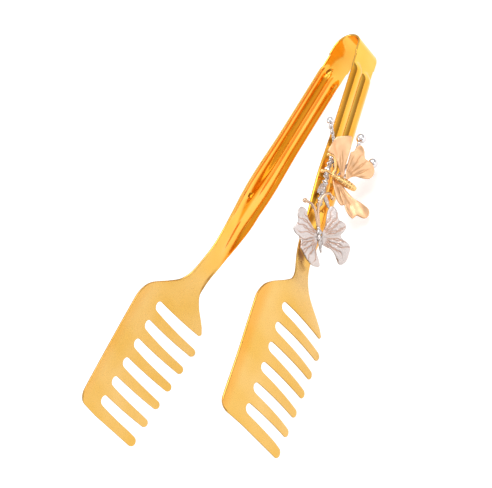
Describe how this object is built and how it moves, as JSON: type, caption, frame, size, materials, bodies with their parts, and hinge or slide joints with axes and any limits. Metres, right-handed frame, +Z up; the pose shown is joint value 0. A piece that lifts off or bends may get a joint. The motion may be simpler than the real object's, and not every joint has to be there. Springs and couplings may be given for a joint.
{
  "type": "ice tongs",
  "caption": "Folded spring strip tongs with fluted arms and comb-shaped jaws; soldered metal butterflies and a twig decorate one arm.",
  "frame": {"origin": "middle of the bow's lower edge at its rounded end, at mid sheet thickness, on the plane midway between the arms", "axes": "+X from the bow towards the comb jaws, +Y towards the decorated arm along the opening direction, +Z up; the tongs lie on their tine tips and the bow's edge"},
  "size_m": [0.1899, 0.0784, 0.0431],
  "materials": {
    "gold_strip": "polished",
    "gold_wire": "satin",
    "rose_gold": "satin",
    "silver_satin": "satin",
    "bead_nickel": "polished"
  },
  "bodies": {
    "bow": {"spring_bow": "gold_strip"},
    "left_jaw": {"left_arm": "gold_strip"},
    "right_jaw": {"right_arm": "gold_strip", "rose_wing_fan": "rose_gold", "rose_wing_round": "rose_gold", "rose_wing_long": "rose_gold", "rose_body": "gold_wire", "rose_antennae": "gold_wire", "rose_post": "rose_gold", "silver_wing_left": "silver_satin", "silver_wing_right": "silver_satin", "silver_body": "silver_satin", "silver_antennae": "silver_satin", "silver_post": "silver_satin", "twig_stem": "silver_satin", "twig_leaf_upper": "silver_satin", "twig_leaf_lower": "silver_satin", "stamen_wire_1": "silver_satin", "stamen_bead_1": "bead_nickel", "stamen_wire_2": "silver_satin", "stamen_bead_2": "bead_nickel", "stamen_wire_3": "silver_satin", "stamen_bead_3": "bead_nickel"}
  },
  "joints": [
    {"name": "right_arm_squeeze", "type": "hinge", "parent": "bow", "child": "right_jaw", "pos_m": [0.00955, 0.00716, 0.00783], "axis": [0.0845, 0, -0.9964], "range_deg": [0, 11.3], "stiffness_Nm_per_rad": 2},
    {"name": "left_arm_squeeze", "type": "hinge", "parent": "bow", "child": "left_jaw", "pos_m": [0.00955, -0.00716, 0.00783], "axis": [-0.0845, 0, 0.9964], "range_deg": [0, 11.3], "stiffness_Nm_per_rad": 2}
  ],
  "couplings": [
    {"joint": "left_arm_squeeze", "follows": "right_arm_squeeze", "ratio": 1}
  ]
}
